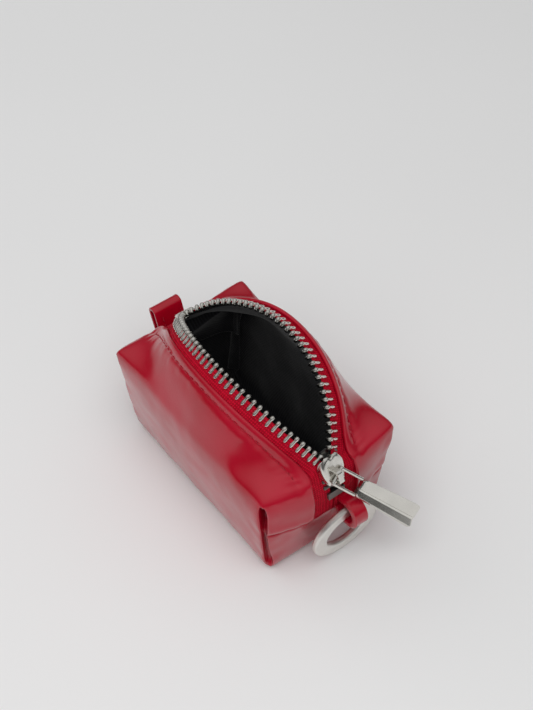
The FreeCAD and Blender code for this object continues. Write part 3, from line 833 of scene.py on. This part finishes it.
def zip_tape(side):
    name = "left" if side < 0 else "right"
    # offsets from the middle of the zip, and the cord's height at each
    across = [1.55, 1.75, 2.1, 2.5, 2.8, 3.1, 3.8, 4.8, 6.0, 7.2, 8.4, 9.6]
    raised = [0.0, 0.35, 0.5, 0.35, 0.1, 0, 0, 0, 0, 0, 0, 0]
    angles = np.linspace(TAPE_FAR, TAPE_NEAR, 150)
    points = []
    uv = []
    for angle in angles:
        beyond = -angle - TAB_STOP if angle < 0 else angle - RING_STOP
        gather = smooth(beyond / 6)
        narrow = mix(0.92, 1, smooth((MOUTH_END + 4 - abs(angle)) / 14))
        for offset, rise in zip(across, raised):
            wave = 0.12 * math.sin(angle * 0.9 + offset) * smooth((offset - 3) / 3)
            lift = 0.3 + rise * 0.4 + wave
            place = offset if offset < 4 else 4 + (offset - 4) * narrow
            # past the stops the two tapes are sewn edge to edge
            place -= 1.5 * gather * (1 - smooth((offset - 1.5) / 4))
            points.append(on_zip(angle, place, lift, side))
            uv.append((math.radians(angle) * ARCH, offset))
    faces = sheet_faces(len(angles), len(across), flip=side > 0)
    tape = mesh_object("Zip_tape_" + name, [p * MM for p in points], faces, uv)
    finish_mesh(tape, TAPE_RED, thickness=0.6, levels=1)
    fold_with_lip(tape)
    return tape


left_tape = zip_tape(-1)
right_tape = zip_tape(1)
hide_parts("zip_tape_left", "zip_tape_ring_end")
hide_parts("zip_tape_right", "zip_tape_tab_end")

# ---------- teeth ----------

TOOTH_PITCH = 2.4
TOOTH_REACH = 3.7


def tooth_shape():
    """Clamped jaws on both faces of the tape and a domed head; +X is away from the head."""
    # place, half width and half height of each ring
    rings = [
        (-0.5, 0.26, 0.6), (-0.32, 0.5, 1.0), (0.0, 0.66, 1.2), (0.5, 0.78, 1.25),
        (0.95, 0.62, 1.12), (1.3, 0.56, 1.05), (2.2, 0.64, 1.02), (3.2, 0.64, 0.98),
        (TOOTH_REACH - 0.15, 0.52, 0.85), (TOOTH_REACH, 0.3, 0.6)]
    count = 10
    points = []
    for reach, half_width, half_height in rings:
        for k in range(count):
            turn = 2 * math.pi * k / count
            c, s = math.cos(turn), math.sin(turn)
            square = 1 / max(abs(c), abs(s)) ** 0.55
            points.append((reach, c * half_width * square, s * half_height * square))
    return points, tube_faces(len(rings), count)


TOOTH_POINTS, TOOTH_FACES = tooth_shape()


def tooth_row(name, side, first, last, shift, metal):
    """Teeth from one angle to another; the shift staggers the two rows, in pitches."""
    step = math.degrees(TOOTH_PITCH / ARCH)
    points = []
    faces = []
    angle = first + shift * step
    while angle < last:
        root = on_zip(angle, 0.35, 0.1, side)
        outward = (on_zip(angle, 1.35, 0.1, side) - root).normalized()
        along = (on_zip(angle + 0.5, 0.35, 0.1, side) - root).normalized()
        up = outward.cross(along).normalized()
        along = up.cross(outward).normalized()
        start = len(points)
        for x, y, z in TOOTH_POINTS:
            points.append(root + outward * x + along * y + up * z)
        faces += [[start + k for k in face] for face in TOOTH_FACES]
        angle += step
    row = mesh_object(name, [p * MM for p in points], faces)
    finish_mesh(row, metal)
    return row


MOUTH_NEAR = 58.5
MOUTH_FAR = -62.0
CLOSED_FIRST = 63.0
CLOSED_LAST = 75.5
for side, name, shift in ((-1, "left", 0.0), (1, "right", 0.5)):
    row = tooth_row("Teeth_" + name, side, MOUTH_FAR, MOUTH_NEAR, shift, NICKEL)
    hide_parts("zip_teeth_" + name)
    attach(row, name + "_lip")
    # the closed teeth get the darkened nickel: painted shade for the shadow below the slider
    closed = tooth_row("Closed_teeth_" + name, side, CLOSED_FIRST, CLOSED_LAST, shift, PAINTED_SHADE_NICKEL)
    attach(closed, "pouch")
    if side < 0:
        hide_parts("closed_teeth")

# ---------- stitches ----------

THREAD_RADIUS = 0.2
THREAD_SIDES = 6


def add_stitch(points, faces, a, b):
    """One stitch of thread from a to b, with rounded ends."""
    axis = (b - a).normalized()
    out = axis.orthogonal().normalized()
    other = axis.cross(out)
    length = (b - a).length
    # share of the length, and share of the radius
    rings = [(0.0, 0.35), (0.12, 0.85), (0.3, 1.0), (0.7, 1.0), (0.88, 0.85), (1.0, 0.35)]
    faces += tube_faces(len(rings), THREAD_SIDES, start=len(points))
    for share, grow in rings:
        middle = a + axis * length * share
        for k in range(THREAD_SIDES):
            turn = 2 * math.pi * k / THREAD_SIDES
            ray = out * math.cos(turn) + other * math.sin(turn)
            points.append(middle + ray * THREAD_RADIUS * grow)


def on_flap(grid, along):
    """Point just above the stitch groove of a top flap, at a distance along it from its middle."""
    u = along / MOUTH_HALF
    q = STITCH_INSET / flap_span(u)
    i = min(max(np.searchsorted(COLUMNS, u) - 1, 0), len(COLUMNS) - 2)
    j = min(max(np.searchsorted(LIPS, q) - 1, 0), len(LIPS) - 2)
    s = (u - COLUMNS[i]) / (COLUMNS[i + 1] - COLUMNS[i])
    t = (q - LIPS[j]) / (LIPS[j + 1] - LIPS[j])
    cell = ((i, j), (i + 1, j), (i, j + 1), (i + 1, j + 1))
    corner = [Vector(leather_points[grid[m][k]]) for m, k in cell]
    place = mix(mix(corner[0], corner[1], s), mix(corner[2], corner[3], s), t)
    normal = (corner[1] - corner[0]).cross(corner[2] - corner[0]).normalized()
    if normal.z < 0:
        normal = -normal
    return place + normal * 0.05


def lip_stitches(side):
    name = "left" if side < 0 else "right"
    grid = outer.flap[side]
    half_stitch = 1.1
    count = int(MOUTH_HALF * 0.95 / STITCH_PITCH)
    points = []
    faces = []
    for k in range(-count, count):
        middle = (k + 0.5) * STITCH_PITCH
        add_stitch(points, faces, on_flap(grid, middle - half_stitch), on_flap(grid, middle + half_stitch))
    made = mesh_object("Topstitch_" + name, [p * MM for p in points], faces)
    finish_mesh(made, THREAD_RED)
    fold_with_lip(made)
    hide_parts("topstitch_" + name)


lip_stitches(-1)
lip_stitches(1)

# ---------- slider and pull ----------

# the slider's bottom plate and the bottom stop get the darkened nickel: painted shade for the shadow under
# the slider
METAL_PARTS = {
    "slider_bottom_plate": PAINTED_SHADE_NICKEL, "slider_post": NICKEL, "slider_crown": NICKEL, "bottom_stop": PAINTED_SHADE_NICKEL,
    "top_stops": NICKEL, "pull_wire": NICKEL, "ring": SATIN}
ROUND_ALREADY = ("pull_wire", "ring")
for node, metal in METAL_PARTS.items():
    solid = frame["nodes"][node]
    if node not in ROUND_ALREADY:
        rounding = solid.modifiers.new("Rounding", "BEVEL")
        rounding.width = 0.28 * MM
        rounding.segments = 3
        rounding.limit_method = "ANGLE"
    solid.data.materials.clear()
    solid.data.materials.append(metal)

# the slider's angle along the zip, and its shield's heights above the tape
SLIDER_ANGLE = 64.6
PLATE_TOP = 2.9
FLANGE_FOOT = 0.9


def plate_half_width(x):
    """Half width of the shield: two shoulders at the open side, narrower at the tail."""
    shoulder = 4.7 - 0.16 * max(-1.0 - x, 0) ** 2
    tail = 4.7 - 0.055 * max(x + 1.0, 0) ** 2
    return min(shoulder, tail)


def slider_shield():
    """Top plate of the slider: a bent-down flange on each side, a ridge and a notched open end."""
    turn = math.radians(SLIDER_ANGLE)
    along = Vector((math.cos(turn), 0, -math.sin(turn)))
    up = Vector((math.sin(turn), 0, math.cos(turn)))
    origin = Vector((ARCH_X, 0, ARCH_Z)) + up * ARCH
    stations = [-5.0, -4.85, -4.4, -3.6, -2.6, -1.6, -0.6, 0.4, 1.4, 2.4, 3.4, 4.3, 4.8, 5.0]
    across = [-1, -0.98, -0.94, -0.88, -0.78, -0.64, -0.5, -0.36, -0.24, -0.14, 0,
              0.14, 0.24, 0.36, 0.5, 0.64, 0.78, 0.88, 0.94, 0.98, 1]
    points = []
    for x in stations:
        half = plate_half_width(x)
        for s in across:
            notch = 0.9 * bell(s, 0.22) * smooth((-3.2 - x) / 1.8)
            drop = smooth((abs(s) - 0.84) / 0.16) * (PLATE_TOP - FLANGE_FOOT)
            drop *= smooth((4.6 - abs(x)) / 1.6)
            roll = 0.45 * smooth((abs(x) - 4.3) / 0.7)
            ridge = 0.35 * bell(s, 0.2)
            lobe = 0.30 * bell(abs(s) - 0.52, 0.3)
            dimple = 0.28 * math.exp(-(((x + 0.4) ** 2 + (s * half - 2.6) ** 2) / 0.45 ** 2))
            z = PLATE_TOP - 0.35 + ridge + lobe - drop - roll - dimple
            points.append(origin + along * (x + notch) + Vector((0, s * half, 0)) + up * z)
    faces = sheet_faces(len(stations), len(across), flip=True)
    shield = mesh_object("Slider_shield", [p * MM for p in points], faces)
    finish_mesh(shield, NICKEL, thickness=0.5, levels=2)
    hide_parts("slider_top_plate")
    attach(shield, "slider")


slider_shield()


def pull_bar():
    """Bar of the pull, along the CAD bar and facing up, with a long groove between its facets."""
    pin = Vector(JOINTS["pull_lift"]["pos_m"]) / MM
    across = Vector(JOINTS["pull_lift"]["axis"]).normalized()
    corners = np.array([v.co[:] for v in frame["nodes"]["pull_bar"].data.vertices]) / MM
    along = Vector(corners.mean(0)) - pin
    along -= across * along.dot(across)
    along.normalize()
    up = across.cross(along).normalized()
    if up.x < 0:
        up = -up
    reach = [(Vector(p) - pin).dot(along) for p in corners]
    near, far = min(reach), max(reach)
    # cross-section facets: side offset as a share of the half width, height in mm
    profile = [(-1.0, 0.0), (-0.98, 0.9), (-0.92, 1.2), (0.08, 0.8), (0.12, 0.62), (0.26, 0.56),
               (0.30, 0.52), (0.84, 1.2), (0.90, 1.2), (1.0, 0.6), (1.0, -0.6), (0.9, -1.1),
               (-0.9, -1.1), (-1.0, -0.7)]
    # share of the length, then shares of the width and the height there
    stations = [(0.0, 0.72, 0.7), (0.02, 0.92, 0.9), (0.06, 1.0, 1.0), (0.5, 1.0, 1.1),
                (0.93, 1.0, 1.2), (0.975, 0.97, 1.15), (0.995, 0.88, 0.9), (1.0, 0.75, 0.6)]
    points = []
    for share, wide, thick in stations:
        half = mix(3.1, 4.0, share) * wide
        centre = pin + along * mix(near, far, share)
        for s, h in profile:
            points.append(centre + across * s * half + up * h * thick)
    faces = tube_faces(len(stations), len(profile))
    bar = mesh_object("Pull_bar", [p * MM for p in points], faces)
    finish_mesh(bar, NICKEL, facets=12)
    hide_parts("pull_bar")
    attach(bar, "pull")


pull_bar()

# ---------- leather strap loop that holds the ring ----------

def ring_strap():
    """Strap that runs out of the cross seam, round the ring's eye and back in."""
    low, high = box_mm("ring_loop")
    middle = (low.y + high.y) / 2 + 0.3
    half_width = (high.y - low.y + 1.0) / 2
    eye_x, _, eye_z = [v / MM for v in JOINTS["ring_swing"]["pos_m"]]
    radius = 4.65
    path = [(41.6, eye_z + 3.9), (42.9, eye_z + 4.4)]
    for turn in np.linspace(math.radians(118), math.radians(-150), 26):
        path.append((eye_x + radius * math.cos(turn), eye_z + radius * math.sin(turn)))
    path.append((41.4, eye_z - 1.6))
    across = np.linspace(-1, 1, 13)
    points = []
    for i, (x, z) in enumerate(path):
        before = Vector(path[max(i - 1, 0)])
        after = Vector(path[min(i + 1, len(path) - 1)])
        run = (after - before).normalized()
        for w in across:
            dome = 0.12 * (1 - w ** 4)
            points.append((x + run.y * dome, middle + w * half_width, z - run.x * dome))
    faces = sheet_faces(len(path), len(across))
    obj = mesh_object("Ring_strap", np.array(points) * MM, faces)
    finish_mesh(obj, LEATHER_RED, thickness=2.2, levels=2, offset=0.0)
    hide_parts("ring_loop")
    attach(obj, "ring_loop")


ring_strap()

# ---------- grip tab at the far end ----------

def grip_tab():
    """Strap folded over at its top, with two rows of stitches along it."""
    tab_low, tab_high = box_mm("grip_tab")
    lean = math.radians(22)
    up = Vector((-math.sin(lean), 0, math.cos(lean)))
    out = Vector((-math.cos(lean), 0, -math.sin(lean)))
    centre_y = (tab_low.y + tab_high.y) / 2
    wide = tab_high.y - tab_low.y
    root = Vector((-(HALF_LENGTH + END_BULGE + 2.3), centre_y, SEAM - 1.5))
    length = 16.0
    straight = length - 2.2
    radius = 1.6
    stitch_rows = (-0.55, 0.75)
    # distance in from the middle of the fold, and height above the root
    path = []
    for share in np.linspace(0, 1, 9):
        path.append((-radius, straight * share))
    for turn in np.linspace(180, 0, 11)[1:-1]:
        t = math.radians(turn)
        path.append((radius * math.cos(t), straight + radius * 0.95 * math.sin(t)))
    for share in np.linspace(1, 0, 9):
        path.append((radius - 0.25 * math.sin(math.pi * share), straight * share))
    across = [-1, -0.93, -0.82, -0.62, -0.4, -0.15, 0.15, 0.4, 0.62, 0.82, 0.93, 1]
    points = []
    for o, h in path:
        for w in across:
            edge = -0.18 * max(abs(w) - 0.8, 0) / 0.2
            grooves = sum(bell(w - row, 0.08) for row in stitch_rows)
            stitch = -0.22 * grooves * smooth((length - 3.4 - h) / 1.5)
            p = root + up * h - out * (o + edge + stitch)
            points.append(p + Vector((0, w * wide / 2, 0)))
    faces = sheet_faces(len(path), len(across), flip=True)
    tab = mesh_object("Grip_tab", [p * MM for p in points], faces)
    finish_mesh(tab, LEATHER_RED, thickness=1.2, levels=2, offset=0.0)
    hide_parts("grip_tab")
    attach(tab, "grip_tab")
    stitches = []
    quads = []
    for w in stitch_rows:
        for h in np.arange(1.5, length - 4.5, 2.8):
            a = root + up * h - out * (radius + 0.62) + Vector((0, w * wide / 2, 0))
            add_stitch(stitches, quads, a, a + up * 1.9)
    threads = mesh_object("Grip_tab_stitching", [p * MM for p in stitches], quads)
    finish_mesh(threads, THREAD_RED)
    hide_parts("grip_tab_stitches")
    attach(threads, "grip_tab")


grip_tab()

# ---------- floor, lights and camera ----------

FLOOR = 3.0
# metres: the point that the camera looks at, and where it stands
TARGET = Vector((-0.0357, 0.0334, 0.0))
CAMERA_AT = Vector((0.2270, -0.1666, 0.3853))
FOCAL_PIXELS = 1400.0
IMAGE_HEIGHT = 710
SENSOR = 36.0
# grey of the studio that the metal mirrors, from straight down (0) to straight up (1)
HEIGHTS = (
    (0.0, 0.8), (0.04, 0.22), (0.08, 0.06), (0.20, 0.05), (0.50, 0.62), (0.75, 1.0), (1.0, 1.25))


def pale_floor():
    corners = [(-FLOOR, -FLOOR, 0), (FLOOR, -FLOOR, 0), (FLOOR, FLOOR, 0), (-FLOOR, FLOOR, 0)]
    floor = mesh_object("Floor", corners, [(0, 1, 2, 3)])
    paper = Nodes("Floor_paper")
    colour = paper.ramp(paper.noise(3, 2), (0.3, (0.79, 0.79, 0.79)), (0.7, (0.82, 0.82, 0.82)))
    floor.data.materials.append(paper.set(Base_Color=colour, Roughness=0.9, Specular_IOR_Level=0.1))


def studio():
    """Banded sky for the metal to mirror; the camera itself sees a plain pale backdrop."""
    world = bpy.data.worlds.new("Studio")
    scene.world = world
    world.use_nodes = True
    sky = world.node_tree
    where = sky.nodes.new("ShaderNodeTexCoord")
    parts = sky.nodes.new("ShaderNodeSeparateXYZ")
    bands = sky.nodes.new("ShaderNodeValToRGB")
    stops = bands.color_ramp.elements
    while len(stops) < len(HEIGHTS):
        stops.new(0.5)
    for stop, (height, grey) in zip(stops, HEIGHTS):
        stop.position = height
        stop.color = (grey, grey, grey, 1)
    mirrored = sky.nodes["Background"]
    mirrored.inputs["Strength"].default_value = 0.50
    backdrop = sky.nodes.new("ShaderNodeBackground")
    backdrop.inputs["Color"].default_value = (0.72, 0.72, 0.72, 1)
    seen = sky.nodes.new("ShaderNodeLightPath")
    choose = sky.nodes.new("ShaderNodeMixShader")
    sky.links.new(where.outputs["Generated"], parts.inputs["Vector"])
    sky.links.new(parts.outputs["Z"], bands.inputs["Fac"])
    sky.links.new(bands.outputs["Color"], mirrored.inputs["Color"])
    sky.links.new(seen.outputs["Is Camera Ray"], choose.inputs["Fac"])
    sky.links.new(mirrored.outputs["Background"], choose.inputs[1])
    sky.links.new(backdrop.outputs["Background"], choose.inputs[2])
    sky.links.new(choose.outputs["Shader"], sky.nodes["World Output"].inputs["Surface"])


def soft_light(name, place, size, power):
    data = bpy.data.lights.new(name, "AREA")
    data.shape = "RECTANGLE"
    data.size, data.size_y = size
    data.energy = power
    lamp = bpy.data.objects.new(name, data)
    lamp.location = place
    lamp.rotation_euler = (TARGET - Vector(place)).to_track_quat("-Z", "Y").to_euler()
    lamp.visible_glossy = False
    scene.collection.objects.link(lamp)


def place_camera():
    data = bpy.data.cameras.new("Camera")
    data.sensor_fit = "VERTICAL"
    data.sensor_height = SENSOR
    data.lens = FOCAL_PIXELS / IMAGE_HEIGHT * SENSOR
    camera = bpy.data.objects.new("Camera", data)
    camera.location = CAMERA_AT
    camera.rotation_euler = (TARGET - CAMERA_AT).to_track_quat("-Z", "Y").to_euler()
    scene.collection.objects.link(camera)
    scene.camera = camera
    scene.view_settings.view_transform = "Standard"


pale_floor()
studio()
soft_light("Overhead", (0.35, -0.32, 0.90), (1.1, 1.1), 6.8)
soft_light("Left", (-0.75, -0.35, 0.6), (0.8, 0.6), 1.2)
place_camera()
